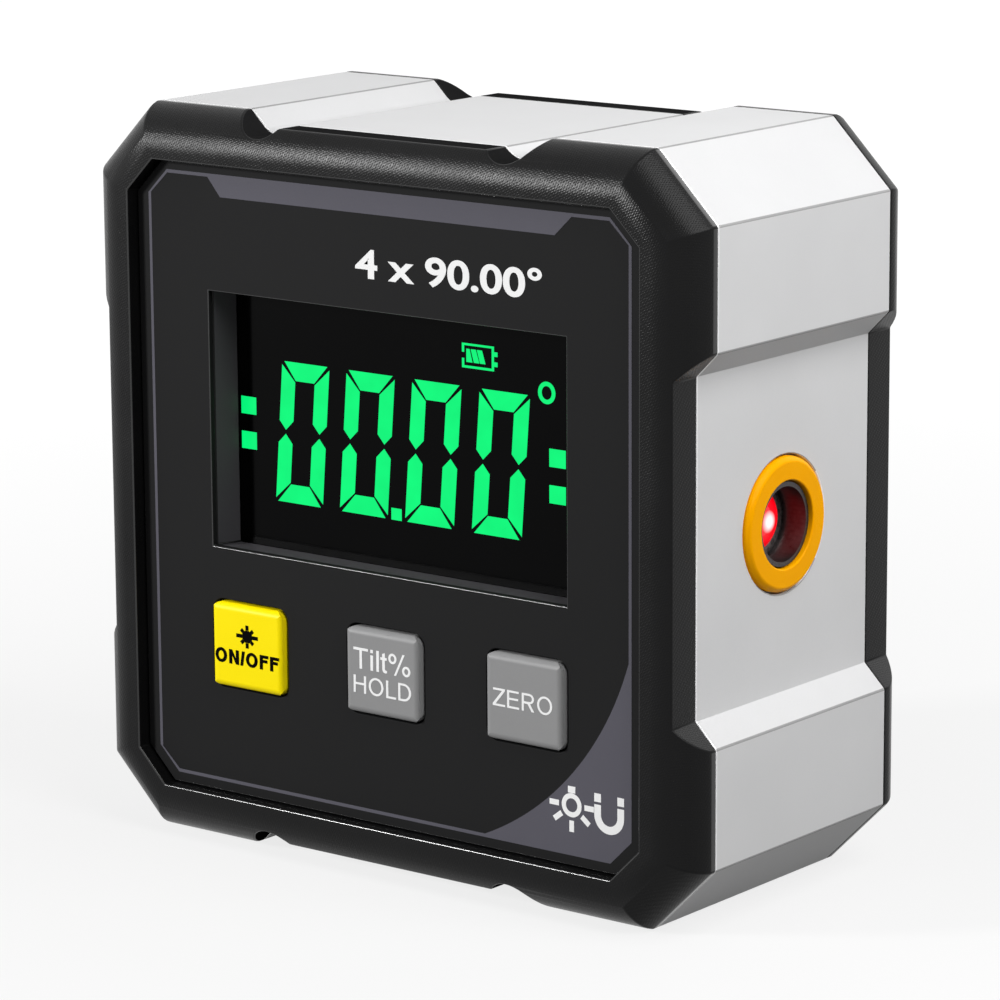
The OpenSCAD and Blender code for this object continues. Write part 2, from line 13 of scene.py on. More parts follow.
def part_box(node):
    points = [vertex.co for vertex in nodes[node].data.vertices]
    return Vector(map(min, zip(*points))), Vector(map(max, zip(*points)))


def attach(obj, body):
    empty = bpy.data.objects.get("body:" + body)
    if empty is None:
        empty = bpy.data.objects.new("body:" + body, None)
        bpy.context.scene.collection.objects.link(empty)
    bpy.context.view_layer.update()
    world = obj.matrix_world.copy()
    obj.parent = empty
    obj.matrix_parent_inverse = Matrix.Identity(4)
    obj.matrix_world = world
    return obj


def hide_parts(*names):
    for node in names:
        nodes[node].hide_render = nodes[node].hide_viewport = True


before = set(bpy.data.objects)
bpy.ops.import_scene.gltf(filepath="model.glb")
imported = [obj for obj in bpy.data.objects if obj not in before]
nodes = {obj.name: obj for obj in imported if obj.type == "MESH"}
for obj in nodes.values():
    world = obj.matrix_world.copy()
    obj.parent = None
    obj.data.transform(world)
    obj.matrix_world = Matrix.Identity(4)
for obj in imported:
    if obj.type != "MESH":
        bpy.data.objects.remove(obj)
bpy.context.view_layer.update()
MM = 0.001
MIDDLE_Z = 30.0  # half the height of the case, where the axis of the lasers lies


# Materials

LOW, HIGH = 0.3, 0.7  # most values of a noise lie between these
WAVE_TURN = 10  # radians by which the wave node turns in a unit of length


def new_material(name):
    material = bpy.data.materials.new(name)
    material.use_nodes = True
    tree = material.node_tree
    return material, tree, tree.nodes["Principled BSDF"]


def add(tree, kind, **values):
    node = tree.nodes.new("ShaderNode" + kind)
    for key, value in values.items():
        if hasattr(node, key):
            setattr(node, key, value)
        else:
            node.inputs[key].default_value = value
    return node


def object_space(tree, scale=None):
    place = add(tree, "TexCoord").outputs["Object"]
    if scale is None:
        return place
    mapping = add(tree, "Mapping", Scale=scale)
    tree.links.new(place, mapping.inputs["Vector"])
    return mapping.outputs["Vector"]


def noise(tree, scale, detail=3.0, roughness=0.5, stretch=None):
    node = add(tree, "TexNoise", Scale=scale, Detail=detail, Roughness=roughness)
    tree.links.new(object_space(tree, stretch), node.inputs["Vector"])
    return node.outputs["Fac"]


def remap(tree, value, low, high, out_low, out_high):
    node = add(tree, "MapRange")
    for key, number in zip(("From Min", "From Max", "To Min", "To Max"), (low, high, out_low, out_high)):
        node.inputs[key].default_value = number
    tree.links.new(value, node.inputs["Value"])
    return node.outputs["Result"]


def join(tree, operation, a, b):
    node = add(tree, "Math", operation=operation)
    for socket, value in zip(node.inputs, (a, b)):
        if isinstance(value, (int, float)):
            socket.default_value = value
        else:
            tree.links.new(value, socket)
    return node.outputs["Value"]


def ramp(tree, value, stops):
    node = add(tree, "ValToRGB")
    band = node.color_ramp
    while len(band.elements) < len(stops):
        band.elements.new(1.0)
    for element, (place, colour) in zip(band.elements, stops):
        element.position = place
        element.color = (*colour, 1.0)
    tree.links.new(value, node.inputs["Fac"])
    return node.outputs["Color"]


def drifting(tree, value, dark, light):
    """A colour that drifts between two others with a noise."""
    return ramp(tree, value, [(LOW, dark), (HIGH, light)])


def tint(colour, factor):
    return tuple(min(1.0, channel * factor) for channel in colour)


def hatch(tree, pitch):
    """Fine crossed lines of a moulded texture, about pitch metres apart."""
    lines = []
    for heading in (Vector((1.0, 0.5, -0.5)), Vector((0.5, -0.5, -1.0))):
        scale = 2 * math.pi / (WAVE_TURN * heading.length * pitch)
        wave = add(tree, "TexWave", wave_type="BANDS", bands_direction="DIAGONAL", Scale=scale,
                   Distortion=3.5, Detail=2.0)
        wave.inputs["Detail Scale"].default_value = 1.4
        tree.links.new(object_space(tree, heading), wave.inputs["Vector"])
        lines.append(wave.outputs["Fac"])
    return join(tree, "MULTIPLY", *lines)


def surface(name, colour, rough, metallic=0.0, spec=0.5, mottle=0.06, cloud=160, grain=9000,
            bump=0.12, depth=0.02, rough_span=0.05, pitch=None, stretch=None):
    """A finish with drifting colour, uneven gloss and a fine grain; depth is in millimetres.

    A pitch adds the crossed lines of a moulded texture.
    """
    material, tree, shader = new_material(name)
    drift = noise(tree, cloud, 4.0)
    speck = noise(tree, grain, 2.0, 0.6, stretch)
    blend = join(tree, "ADD", join(tree, "MULTIPLY", drift, 0.7), join(tree, "MULTIPLY", speck, 0.3))
    shades = drifting(tree, blend, tint(colour, 1 - mottle), tint(colour, 1 + mottle))
    tree.links.new(shades, shader.inputs["Base Color"])
    gloss = remap(tree, blend, LOW, HIGH, rough - rough_span, rough + rough_span)
    tree.links.new(gloss, shader.inputs["Roughness"])
    height = speck
    if pitch:
        height = join(tree, "ADD", hatch(tree, pitch), join(tree, "MULTIPLY", speck, 0.5))
    relief = add(tree, "Bump", Strength=bump, Distance=depth * MM)
    tree.links.new(height, relief.inputs["Height"])
    tree.links.new(relief.outputs["Normal"], shader.inputs["Normal"])
    shader.inputs["Metallic"].default_value = metallic
    shader.inputs["Specular IOR Level"].default_value = spec
    return material


def glowing(name, colour, strength):
    """A lit segment of the display, a little uneven."""
    material, tree, shader = new_material(name)
    lit = drifting(tree, noise(tree, 420, 2.0), tint(colour, 0.93), tint(colour, 1.04))
    tree.links.new(lit, shader.inputs["Emission Color"])
    shader.inputs["Emission Strength"].default_value = strength
    shader.inputs["Base Color"].default_value = (0.0, 0.02, 0.005, 1.0)
    shader.inputs["Specular IOR Level"].default_value = 0.05
    return material


def radius_about_laser(tree):
    """Distance from the axis of the two lasers, in millimetres."""
    split = add(tree, "SeparateXYZ")
    tree.links.new(object_space(tree), split.inputs["Vector"])
    across = join(tree, "MULTIPLY", split.outputs["Y"], 1 / MM)
    up = join(tree, "MULTIPLY", join(tree, "SUBTRACT", split.outputs["Z"], MIDDLE_Z * MM), 1 / MM)
    square = join(tree, "ADD", join(tree, "MULTIPLY", across, across), join(tree, "MULTIPLY", up, up))
    return join(tree, "SQRT", square, 0.0)


def laser_lens():
    """Clear red lens with a white-hot middle."""
    material, tree, shader = new_material("lens_lit")
    lens_radius = 2.7
    heat = remap(tree, radius_about_laser(tree), 0.0, lens_radius, 0.0, 1.0)
    stops = [(0.0, (1.0, 0.9, 0.9)), (0.16, (1.0, 0.6, 0.6)),
             (0.34, (0.9, 0.0, 0.004)), (1.0, (0.2, 0.0, 0.003))]
    tree.links.new(ramp(tree, heat, stops), shader.inputs["Emission Color"])
    shader.inputs["Emission Strength"].default_value = 1.5
    tree.links.new(drifting(tree, noise(tree, 900), (0.3, 0.0, 0.01), (0.4, 0.01, 0.02)),
                   shader.inputs["Base Color"])
    shader.inputs["Roughness"].default_value = 0.08
    return material


def turned_metal():
    """Dull metal with fine turning rings about the laser's axis, darker towards its outer edge."""
    material, tree, shader = new_material("turned_metal")
    turns, dark_from, dark_at = 60.0, 2.8, 2.95
    rings = join(tree, "SINE", join(tree, "MULTIPLY", radius_about_laser(tree), turns), 0.0)
    mixed = join(tree, "ADD", join(tree, "MULTIPLY", rings, 0.15), noise(tree, 3000, 3.0))
    fade = remap(tree, radius_about_laser(tree), dark_from, dark_at, 1.0, 0.1)
    shade = join(tree, "MULTIPLY", mixed, fade)
    stops = [(0.0, (0.03, 0.027, 0.027)), (0.25, (0.15, 0.135, 0.135)), (0.75, (0.32, 0.295, 0.29))]
    tree.links.new(ramp(tree, shade, stops), shader.inputs["Base Color"])
    tree.links.new(remap(tree, mixed, 0.2, 0.8, 0.22, 0.4), shader.inputs["Roughness"])
    relief = add(tree, "Bump", Strength=0.2, Distance=0.01 * MM)
    tree.links.new(mixed, relief.inputs["Height"])
    tree.links.new(relief.outputs["Normal"], shader.inputs["Normal"])
    shader.inputs["Metallic"].default_value = 0.85
    return material


def cell_sleeve():
    """Plain two-tone sleeve with bare metal at both ends of a cell."""
    material, tree, shader = new_material("cell_sleeve")
    split = add(tree, "SeparateXYZ")
    tree.links.new(object_space(tree), split.inputs["Vector"])
    foot, head = 5 * MM, 55 * MM
    along = remap(tree, split.outputs["Z"], foot, head, 0.0, 1.0)
    blue, silver, gold = (0.03, 0.075, 0.2), (0.62, 0.62, 0.62), (0.5, 0.32, 0.1)
    bands = [(0.0, silver), (0.115, silver), (0.12, blue), (0.74, blue),
             (0.745, gold), (0.9, gold), (0.91, silver)]
    drift = join(tree, "ADD", along, join(tree, "MULTIPLY", noise(tree, 500), 0.002))
    tree.links.new(ramp(tree, drift, bands), shader.inputs["Base Color"])
    tree.links.new(remap(tree, noise(tree, 2500), LOW, HIGH, 0.22, 0.36), shader.inputs["Roughness"])
    shader.inputs["Metallic"].default_value = 0.45
    return material


def circuit_board():
    """Green lacquer over a faint net of copper tracks."""
    material, tree, shader = new_material("circuit_board")
    cells = add(tree, "TexVoronoi", Scale=900, feature="DISTANCE_TO_EDGE", distance="EUCLIDEAN")
    tree.links.new(object_space(tree), cells.inputs["Vector"])
    tracks = [(0.02, (0.012, 0.1, 0.035)), (0.06, (0.02, 0.2, 0.07)), (0.1, (0.015, 0.13, 0.045))]
    tree.links.new(ramp(tree, cells.outputs["Distance"], tracks), shader.inputs["Base Color"])
    relief = add(tree, "Bump", Strength=0.2, Distance=0.03 * MM)
    tree.links.new(cells.outputs["Distance"], relief.inputs["Height"])
    tree.links.new(relief.outputs["Normal"], shader.inputs["Normal"])
    shader.inputs["Roughness"].default_value = 0.35
    return material


METAL = surface("anodised_metal", (0.645, 0.645, 0.65), 0.44, metallic=0.08, spec=0.03, mottle=0.03,
                cloud=120, grain=7000, bump=0.1)
# Broken edges of the frame: bare cut metal, glossier than the faces and painted lighter, a painted highlight
# along the edges.
METAL_EDGE_HIGHLIGHT = surface("cut_edge_and_highlight", (0.85, 0.85, 0.855), 0.3, metallic=0.2, mottle=0.03, bump=0.02)
# A darker grey on the broken edges along Y, a painted shade line at the creases of the frame.
CREASE_SHADE = surface("painted_crease_shade", (0.34, 0.34, 0.34), 0.45, metallic=0.1, spec=0.1, mottle=0.05, bump=0.02)
BLACK = surface("moulded_black", (0.005, 0.005, 0.0052), 0.3, spec=0.12, mottle=0.15, grain=6000,
                bump=0.34, depth=0.03, pitch=0.18 * MM)
BLACK_EDGE = surface("moulded_edge", (0.005, 0.005, 0.0052), 0.33, spec=0.11, mottle=0.1, bump=0.04)
BLACK_DULL = surface("moulded_dull", (0.014, 0.014, 0.0143), 0.6, spec=0.0, mottle=0.2, bump=0.1)
RIM = surface("moulded_rim", (0.008, 0.008, 0.0083), 0.14, spec=0.5, mottle=0.1, bump=0.02,
              rough_span=0.03)
# The walls of the window well: the bezel's black painted lighter grey, a painted light on the walls.
WELL_PAINTED_LIGHT = surface("window_well_painted_light", (0.05, 0.048, 0.053), 0.5, spec=0.2, mottle=0.06, bump=0.1)
PANEL = surface("printed_panel", (0.0105, 0.0105, 0.0108), 0.6, spec=0.06, mottle=0.08, cloud=70,
                bump=0.08)
# Broken edges of the panel, glossier and painted lighter grey, a painted highlight along the edge of the
# window.
PANEL_EDGE_HIGHLIGHT = surface("panel_edge_highlight", (0.03, 0.03, 0.031), 0.2, spec=0.5, mottle=0.08, bump=0.02)
INK_GREY = surface("print_grey", (0.09, 0.087, 0.106), 0.55, spec=0.1, mottle=0.05, bump=0.05)
INK_WHITE = surface("print_white", (0.86, 0.86, 0.86), 0.5, spec=0.2, mottle=0.03, bump=0.04)
INK_BLACK = surface("print_black", (0.002, 0.002, 0.002), 0.7, spec=0.01, mottle=0.2, bump=0.04)
GLASS = surface("display_glass", (0.0006, 0.0006, 0.0007), 0.12, spec=0.04, mottle=0.2, bump=0.01,
                rough_span=0.03)
LIT = glowing("display_lit", (0.0015, 0.92, 0.2), 1.0)
YELLOW = surface("key_yellow", (0.97, 0.78, 0.0), 0.42, spec=0.12, mottle=0.02, bump=0.06)
GREY = surface("key_grey", (0.25, 0.25, 0.252), 0.45, spec=0.2, mottle=0.04, bump=0.08)
ORANGE = surface("ring_orange", (1.0, 0.41, 0.0), 0.26, spec=0.03, mottle=0.04, bump=0.04)
RUBBER = surface("contact_rubber", (0.5, 0.2, 0.28), 0.7, mottle=0.3, stretch=(40.0, 1.0, 1.0))
MILKY = surface("light_guide", (0.8, 0.82, 0.8), 0.35, mottle=0.03)
CHIP = surface("chip_black", (0.018, 0.018, 0.019), 0.55, spec=0.3, mottle=0.15)
MOULDING = surface("inner_moulding", (0.035, 0.035, 0.036), 0.5, spec=0.3, mottle=0.12)
BRASS = surface("plated_brass", (0.75, 0.52, 0.2), 0.3, metallic=0.9, mottle=0.08)
NICKEL = surface("nickel", (0.62, 0.61, 0.58), 0.25, metallic=0.95, mottle=0.05, bump=0.05)
STEEL = surface("plated_steel", (0.6, 0.6, 0.6), 0.3, metallic=0.9, mottle=0.08, stretch=(1.0, 1.0, 0.1))
SCREW = surface("blackened_steel", (0.03, 0.03, 0.031), 0.38, metallic=0.4, mottle=0.2)

FINISH = {
    "lcd_glass": GLASS, "lcd_backlight": MILKY, "lcd_connector": RUBBER,
    "main_board": circuit_board(), "controller_chip": CHIP, "tilt_sensor": CHIP, "key_switches": MOULDING,
    "power_plunger": MOULDING, "hold_plunger": MOULDING, "zero_plunger": MOULDING,
    "power_button": YELLOW, "hold_button": GREY, "zero_button": GREY,
    "base_magnets": NICKEL, "battery_springs": STEEL, "battery_contacts": STEEL,
    "cover_screws": SCREW, "board_screws": STEEL,
}
BARREL, LENS, SLEEVE = turned_metal(), laser_lens(), cell_sleeve()
for side in ("right", "left"):
    FINISH["laser_barrel_" + side] = BARREL
    FINISH["laser_lens_" + side] = LENS
    FINISH["laser_diode_" + side] = BRASS
    FINISH["laser_holder_" + side] = MOULDING
    FINISH["battery_cell_" + side] = SLEEVE
for name, material in FINISH.items():
    nodes[name].data.materials.clear()
    nodes[name].data.materials.append(material)


# Pieces, with lengths in millimetres

SHARP = math.radians(20)  # edges that turn by more than this are broken
COPLANAR = math.radians(0.3)  # faces that turn by less than this are one flat
WELD, LEDGE = 0.002, 0.06  # points nearer than this are one, everywhere and beside the lands
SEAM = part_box("frame")[0].y / MM
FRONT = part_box("front_bezel")[0].y / MM
LAND_REACH, LAND_HALF = 27.0, 15.6  # height from the middle and half width of a land with its channels
CHANNEL_FROM, CHANNEL_TO = 9.0, 16.0  # where the channels lie, from the middle
WELL_HALF, WELL_LOW, WELL_HIGH, WELL_DEEP = 18.5, 24.0, 46.2, 2.1  # box about the walls of the window
SIDE_REACH, CORNER_REACH, RIM_WIDE = 27.5, 52.0, 0.62  # just inside the sides and the cut corners
POCKET_HALF, POCKET_LOW, POCKET_HIGH = 25.6, 4.0, 56.0  # box about the pocket of the panel
KEYS_HALF, KEYS_LOW, KEYS_HIGH = 20.0, 8.0, 22.0  # box about the keys
TOUCH = 0.2  # how far a face may lie past the plane that it belongs to


def link(name, mesh, body, materials):
    piece = bpy.data.objects.new(name, mesh)
    bpy.context.scene.collection.objects.link(piece)
    for material in materials:
        mesh.materials.append(material)
    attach(piece, body)
    return piece


def drop_flaps(shape):
    """Deletes faces that hang on an edge which two other faces already share."""
    def shares(polygon):
        return [len(e.link_faces) for e in polygon.edges]
    flaps = [f for f in shape.faces if min(shares(f)) == 1 and max(shares(f)) > 2]
    bmesh.ops.delete(shape, geom=flaps, context="FACES")


def beside_land(point):
    """True near the channels beside the lands, where the CAD mesh has very short edges."""
    far_out = abs(point.z / MM - MIDDLE_Z) > SIDE_REACH
    return far_out and CHANNEL_FROM < abs(point.x) / MM < CHANNEL_TO


def clean_copy(node):
    """A copy of a CAD node's mesh with one face for each flat."""
    shape = bmesh.new()
    shape.from_mesh(nodes[node].data)
    bmesh.ops.remove_doubles(shape, verts=shape.verts, dist=WELD * MM)
    bmesh.ops.dissolve_degenerate(shape, edges=shape.edges, dist=WELD * MM)
    drop_flaps(shape)
    near = [v for v in shape.verts if beside_land(v.co)]
    bmesh.ops.remove_doubles(shape, verts=near, dist=LEDGE * MM)
    bmesh.ops.dissolve_limit(shape, angle_limit=COPLANAR, verts=shape.verts, edges=shape.edges)
    return shape


def rounded(node, body, width, finishes, steps=2, outer_only=False, pick=None, edge_pick=None):
    """Stands for a CAD node with its sharp edges broken, so that they catch the light.

    The finishes are for the faces, the broken edges, and whatever pick numbers otherwise among the faces
    and edge_pick among the broken edges. With outer_only the inner edges stay sharp.
    """
    shape = clean_copy(node)
    for polygon in shape.faces:
        polygon.material_index = pick(polygon.calc_center_median() / MM, polygon.normal) if pick else 0
    sharp = [e for e in shape.edges if len(e.link_faces) == 2 and e.calc_face_angle(0.0) > SHARP
             and (e.is_convex or not outer_only)]
    bmesh.ops.bevel(shape, geom=sharp, offset=width * MM, offset_type="OFFSET", segments=steps,
                    profile=0.5, affect="EDGES", clamp_overlap=False, material=1)
    if outer_only:
        for e in shape.edges:
            e.smooth = e.is_convex or e.calc_face_angle(0.0) < SHARP
    for polygon in shape.faces:
        polygon.smooth = True
        if edge_pick and polygon.material_index == 1:
            polygon.material_index = edge_pick(polygon.calc_center_median() / MM, polygon.normal)
    mesh = bpy.data.meshes.new(node + "_finished")
    shape.to_mesh(mesh)
    shape.free()
    piece = link(node + "_finished", mesh, body, finishes)
    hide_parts(node)
    soft = piece.modifiers.new("weighted", "WEIGHTED_NORMAL")
    soft.keep_sharp = True


def runs_along_y(normal, slack):
    return abs(normal.y) < slack


def on_land(centre, normal):
    """True on a raised land and in the channels beside it, at the top and the bottom."""
    far_out = abs(centre.z - MIDDLE_Z) > LAND_REACH
    return far_out and abs(centre.x) < LAND_HALF and runs_along_y(normal, 0.05)


def cover_part(centre, normal):
    """Numbers the raised lands and their channels 2."""
    return 2 if on_land(centre, normal) else 0


def bezel_part(centre, normal):
    """Numbers the walls of the window well 2, which are painted lighter as painted light, the straight rim
    beside the frame 3, lands and channels 4.
    """
    across, up = abs(centre.x), abs(centre.z - MIDDLE_Z)
    in_window = across < WELL_HALF and WELL_LOW < centre.z < WELL_HIGH
    if in_window and SEAM - WELL_DEEP < centre.y < SEAM + TOUCH and runs_along_y(normal, 0.9):
        return 2
    if on_land(centre, normal):
        return 4
    outside = max(across, up) > SIDE_REACH or across + up > CORNER_REACH
    return 3 if outside and SEAM - RIM_WIDE < centre.y < SEAM and runs_along_y(normal, 0.1) else 0


def frame_edge(centre, normal):
    """Numbers the broken edges that run along Y 2, which carry a painted shade line at the creases; the rest
    keep 1, the lighter cut edge with its painted highlight.
    """
    return 2 if runs_along_y(normal, 0.3) else 1


def bezel_edge(centre, normal):
    """Numbers the inner edge about the panel 3."""
    in_pocket = abs(centre.x) < POCKET_HALF and POCKET_LOW < centre.z < POCKET_HIGH
    return 3 if in_pocket and centre.y < FRONT + TOUCH else 1


def panel_edge_highlight(centre, normal):
    """Leaves the edges about the keys as dull as the panel, and gives the other edges the painted highlight.
    """
    return 0 if abs(centre.x) < KEYS_HALF and KEYS_LOW < centre.z < KEYS_HIGH else 1


CASE_EDGE = 0.12
rounded("frame", "case", CASE_EDGE, [METAL, METAL_EDGE_HIGHLIGHT, CREASE_SHADE], outer_only=True,
        edge_pick=frame_edge)
rounded("front_bezel", "case", CASE_EDGE, [BLACK, BLACK_EDGE, WELL_PAINTED_LIGHT, RIM, BLACK_DULL],
        pick=bezel_part, edge_pick=bezel_edge)
rounded("rear_cover", "case", CASE_EDGE, [BLACK, BLACK_EDGE, BLACK_DULL], pick=cover_part)
rounded("battery_door", "door", 0.1, [BLACK, BLACK_EDGE])
rounded("front_panel", "case", 0.07, [PANEL, PANEL_EDGE_HIGHLIGHT], edge_pick=panel_edge_highlight)
for side in ("right", "left"):
    rounded("laser_ring_" + side, "case", 0.14, [ORANGE, ORANGE], steps=3)


INK_THICK = 0.02


def as_mesh(curve, name):
    """The filled outline of a curve or text in X and Y, with a front and a back for lay to place."""
    curve.extrude = 0.5
    holder = bpy.data.objects.new(name, curve)
    bpy.context.scene.collection.objects.link(holder)
    graph = bpy.context.evaluated_depsgraph_get()
    mesh = bpy.data.meshes.new_from_object(holder.evaluated_get(graph))
    bpy.data.objects.remove(holder)
    bpy.data.curves.remove(curve)
    mesh.name = name
    mesh.materials.clear()
    return mesh


def lay(mesh, y, box=None):
    """Lays a flat mesh on the plane y, facing the front, and fits it to a box x0, z0, x1, z1."""
    xs = [v.co.x for v in mesh.vertices]
    zs = [v.co.y for v in mesh.vertices]
    left, right, low, high = min(xs), max(xs), min(zs), max(zs)
    x0, z0, x1, z1 = box or (left, low, right, high)
    for v in mesh.vertices:
        x = x0 + (v.co.x - left) * (x1 - x0) / (right - left)
        z = z0 + (v.co.y - low) * (z1 - z0) / (high - low)
        front = v.co.z > 0
        v.co = Vector((x, y - (INK_THICK if front else 0.0), z)) * MM


def flat(name, loops, y, body, material, box=None):
    """A thin print or segment from closed loops of x, z; a loop inside another is a hole."""
    curve = bpy.data.curves.new(name, "CURVE")
    curve.dimensions = "2D"
    curve.fill_mode = "BOTH"
    for loop in loops:
        spline = curve.splines.new("POLY")
        spline.points.add(len(loop) - 1)
        spline.use_cyclic_u = True
        for point, (x, z) in zip(spline.points, loop):
            point.co = (x, z, 0.0, 1.0)
    mesh = as_mesh(curve, name)
    lay(mesh, y, box)
    link(name, mesh, body, [material])


def words(name, text, box, y, body, material, weight):
    """Lettering fitted to a box of x0, z0, x1, z1."""
    curve = bpy.data.curves.new(name, "FONT")
    curve.body = text
    curve.offset = weight
    curve.resolution_u = 8
    mesh = as_mesh(curve, name)
    lay(mesh, y, box)
    link(name, mesh, body, [material])


def oct_loop(x0, z0, x1, z1, cut):
    return [(x0 + cut, z0), (x1 - cut, z0), (x1, z0 + cut), (x1, z1 - cut),
            (x1 - cut, z1), (x0 + cut, z1), (x0, z1 - cut), (x0, z0 + cut)]


def arc(x, z, rx, rz, start, end, count):
    turn = [math.radians(start + (end - start) * k / count) for k in range(count + 1)]
    return [(x + rx * math.cos(a), z + rz * math.sin(a)) for a in turn]


def ring(x, z, rx, rz, count=40):
    return arc(x, z, rx, rz, 0, 360 - 360 / count, count - 1)


def bar(x, z, angle, start, end, width):
    a = math.radians(angle)
    along = (math.cos(a), math.sin(a))
    across = (-math.sin(a) * width / 2, math.cos(a) * width / 2)
    return [(x + along[0] * r + s * across[0], z + along[1] * r + s * across[1])
            for r, s in ((start, 1), (end, 1), (end, -1), (start, -1))]


def rect(x0, z0, x1, z1):
    return [(x0, z0), (x1, z0), (x1, z1), (x0, z1)]


# Print on the panel: a border that widens into a band at the top and a corner at the bottom right
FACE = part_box("front_panel")[0].y / MM
CENTRE_X, CENTRE_Z, SWEEP = -0.67, 28.72, 25.5
LINE_LEFT, LINE_RIGHT, LINE_LOW, LINE_HIGH = -23.73, 23.68, 5.47, 54.63
BAND_LOW, SIDE_LOW, SIDE_HIGH = 53.1, 7.1, 52.95
SWEEP_HIGH = 21.15
sweep_from = math.degrees(math.asin((SWEEP_HIGH - CENTRE_Z) / SWEEP))
sweep_to = math.degrees(math.asin((LINE_LOW - CENTRE_Z) / SWEEP))
inner = [(LINE_LEFT, SIDE_LOW), (LINE_LEFT, SIDE_HIGH), (-21.95, LINE_HIGH), (-17.7, LINE_HIGH),
         (-16.4, BAND_LOW), (16.8, BAND_LOW), (18.4, LINE_HIGH), (21.9, LINE_HIGH), (LINE_RIGHT, SIDE_HIGH)]
inner += arc(CENTRE_X, CENTRE_Z, SWEEP, SWEEP, sweep_from, sweep_to, 24) + [(-21.95, LINE_LOW)]
outer = oct_loop(-24.0, 5.2, 23.95, 54.9, 2.0)
flat("print_border", [outer, inner], FACE, "case", INK_GREY)

INK = FACE - INK_THICK
BULB_X, BULB_Z = 18.28, 9.2
bulb = [ring(BULB_X, BULB_Z, radius, radius) for radius in (0.95, 0.55)]
flat("print_bulb", bulb, INK, "case", INK_WHITE)
bulb_rays = [bar(BULB_X, BULB_Z, angle, 1.22, 2.12, 0.44) for angle in (0, 180, 218, 270, 322)]
bulb_foot = bar(BULB_X, BULB_Z, 90, 0.97, 1.5, 0.7)
flat("print_bulb_rays", bulb_rays + [bulb_foot], INK, "case", INK_WHITE)

MAGNET_X, MAGNET_Z, MAGNET_OUT, MAGNET_IN = 21.85, 8.89, 1.41, 0.78
LEG_HIGH, TIP_LOW, TIP_HIGH, TIP_WIDE = 9.67, 9.88, 10.55, 0.63
horseshoe = arc(MAGNET_X, MAGNET_Z, MAGNET_OUT, MAGNET_OUT, 180, 360, 20)
horseshoe += [(MAGNET_X + MAGNET_OUT, LEG_HIGH), (MAGNET_X + MAGNET_IN, LEG_HIGH)]
horseshoe += arc(MAGNET_X, MAGNET_Z, MAGNET_IN, MAGNET_IN, 360, 180, 16)
horseshoe += [(MAGNET_X - MAGNET_IN, LEG_HIGH), (MAGNET_X - MAGNET_OUT, LEG_HIGH)]
tips = [rect(MAGNET_X + x, TIP_LOW, MAGNET_X + x + TIP_WIDE, TIP_HIGH) for x in (-MAGNET_OUT, MAGNET_IN)]
flat("print_magnet", [horseshoe] + tips, INK, "case", INK_WHITE)
RANGE_BOX = (-2.6, 48.0, 15.6, 50.45)
words("print_range", "4 x 90.00°", RANGE_BOX, FACE, "case", INK_WHITE, weight=0.022)

# Lit segments of the display; TOP and SIDE are a bar of each kind, from the middle of a digit
GLASS_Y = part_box("lcd_glass")[0].y / MM
MID, SLANT = 34.3, 0.0775
TOP = [(-2.22, 5.73), (2.22, 5.73), (0.95, 4.23), (-0.95, 4.23)]
SIDE = [(-2.44, 5.45), (-1.01, 4.1), (-1.01, 0.93), (-1.74, 0.17), (-2.44, 0.9)]
for place, middle in enumerate((-10.42, -3.77, 2.88, 9.54)):
    loops = []
    for up in (1, -1):
        loops.append([(x, z * up) for x, z in TOP])
        loops += [[(x * across, z * up) for x, z in SIDE] for across in (1, -1)]
    slanted = [[(middle + x + SLANT * z, MID + z) for x, z in loop] for loop in loops]
    flat("digit_%d" % (place + 1), slanted, GLASS_Y, "case", LIT)
MARK_WIDE, MARK_HIGH = 1.57, 1.42
marks = [rect(-1.38, 28.55, -0.34, 29.5)]
marks += [rect(x, z, x + MARK_WIDE, z + MARK_HIGH)
          for x, z in ((-16.82, 35.3), (-16.82, 32.45), (14.25, 34.7), (14.25, 31.86))]
flat("digit_marks", marks, GLASS_Y, "case", LIT)
degree = [ring(14.02, 40.4, rx, rz) for rx, rz in ((0.83, 0.87), (0.48, 0.53))]
flat("degree_sign", degree, GLASS_Y, "case", LIT)
CELL_LEFT, CELL_RIGHT, CELL_LOW, CELL_HIGH = 5.82, 8.95, 41.5, 43.43
WALL_LEFT, WALL_RIGHT, WALL_LOW, WALL_HIGH = 6.04, 8.73, 41.69, 43.26
GAP_LOW, GAP_HIGH, BAR_LOW, BAR_HIGH = 42.25, 42.72, 41.96, 43.0
shell = [(CELL_LEFT, GAP_HIGH), (CELL_LEFT, CELL_HIGH), (CELL_RIGHT, CELL_HIGH), (CELL_RIGHT, CELL_LOW),
         (CELL_LEFT, CELL_LOW), (CELL_LEFT, GAP_LOW), (WALL_LEFT, GAP_LOW), (WALL_LEFT, WALL_LOW),
         (WALL_RIGHT, WALL_LOW), (WALL_RIGHT, WALL_HIGH), (WALL_LEFT, WALL_HIGH), (WALL_LEFT, GAP_HIGH)]
charge = [[(6.25, BAR_HIGH), (6.57, BAR_HIGH), (6.85, BAR_LOW), (6.25, BAR_LOW)]]
charge += [[(x, BAR_HIGH), (x + 0.5, BAR_HIGH), (x + 0.84, BAR_LOW), (x + 0.31, BAR_LOW)]
           for x in (6.68, 7.28)]
charge += [rect(8.97, z, 9.29, z + 0.36) for z in (42.65, 41.86)]
flat("battery_sign", [shell] + charge, GLASS_Y, "case", LIT)

# Lettering on the keys, from the middle of each key
KEY_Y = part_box("power_button")[0].y / MM


def key_middle(node):
    low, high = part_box(node)
    return (low.x + high.x) / 2 / MM, (low.z + high.z) / 2 / MM


